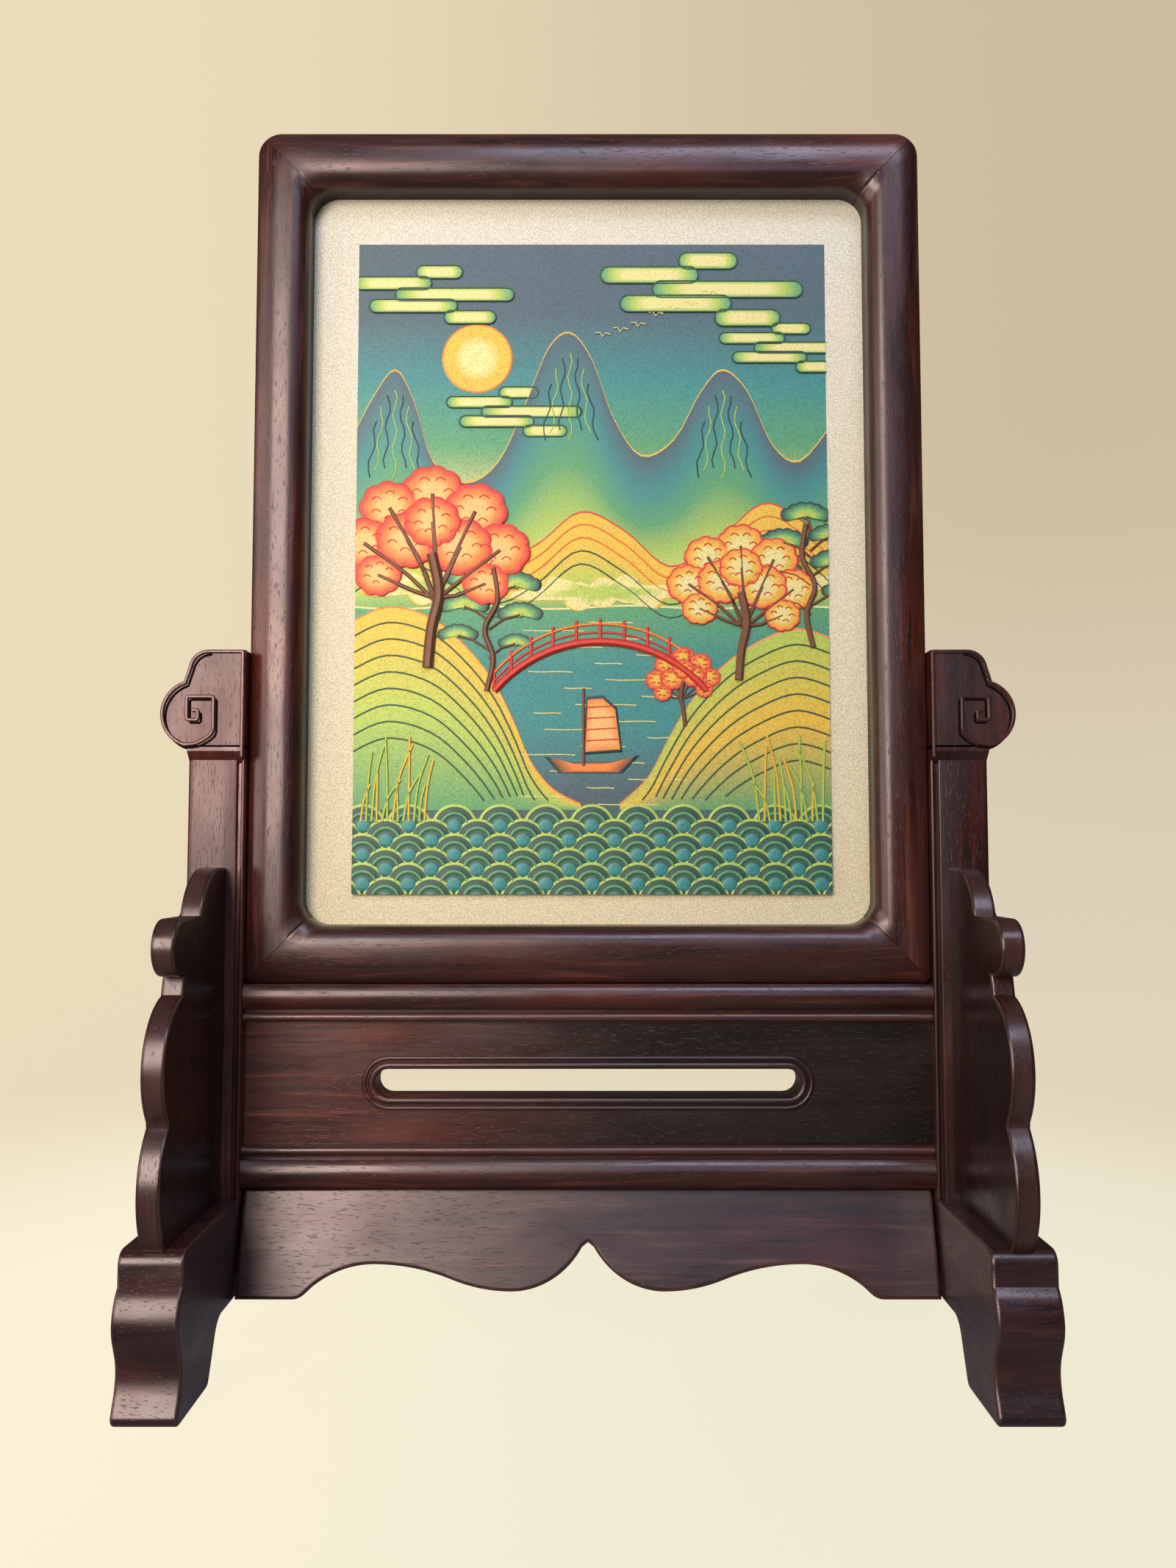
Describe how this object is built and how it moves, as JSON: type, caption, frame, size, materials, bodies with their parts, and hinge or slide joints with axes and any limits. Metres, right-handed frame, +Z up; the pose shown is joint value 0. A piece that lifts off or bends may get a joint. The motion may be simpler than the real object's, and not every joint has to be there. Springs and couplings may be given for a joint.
{
  "type": "chinese table screen",
  "caption": "Desk-size hardwood table screen: mitred frame with a gold picture plate that lifts out of a stand with scroll-headed posts, standing spandrels, slotted panel and scalloped aprons.",
  "frame": {"origin": "on the table under the screen, midway between the two feet and midway front to back", "axes": "+X to the right across the screen, +Y to the back, +Z up; the front of the screen faces -Y"},
  "size_m": [0.2982, 0.1484, 0.43],
  "materials": {
    "rosewood": "waxed semi-gloss",
    "gold_plate": "fine sand-blasted champagne gold",
    "back_board": "oiled",
    "screw_steel": "plain"
  },
  "bodies": {
    "stand": {"left_foot": "rosewood", "right_foot": "rosewood", "left_post": "rosewood", "right_post": "rosewood", "lower_rail": "rosewood", "upper_rail": "rosewood", "slotted_panel": "rosewood", "front_apron": "rosewood", "rear_apron": "rosewood", "front_left_spandrel": "rosewood", "front_right_spandrel": "rosewood", "rear_left_spandrel": "rosewood", "rear_right_spandrel": "rosewood"},
    "screen": {"frame_left_stile": "rosewood", "frame_right_stile": "rosewood", "frame_top_rail": "rosewood", "frame_bottom_rail": "rosewood", "picture_plate": "gold_plate", "backing_board": "back_board", "back_screws": "screw_steel"}
  },
  "joints": [
    {"name": "screen_lift", "type": "slide", "parent": "stand", "child": "screen", "axis": [0, 0, 1], "range_m": [0, 0.12]}
  ]
}
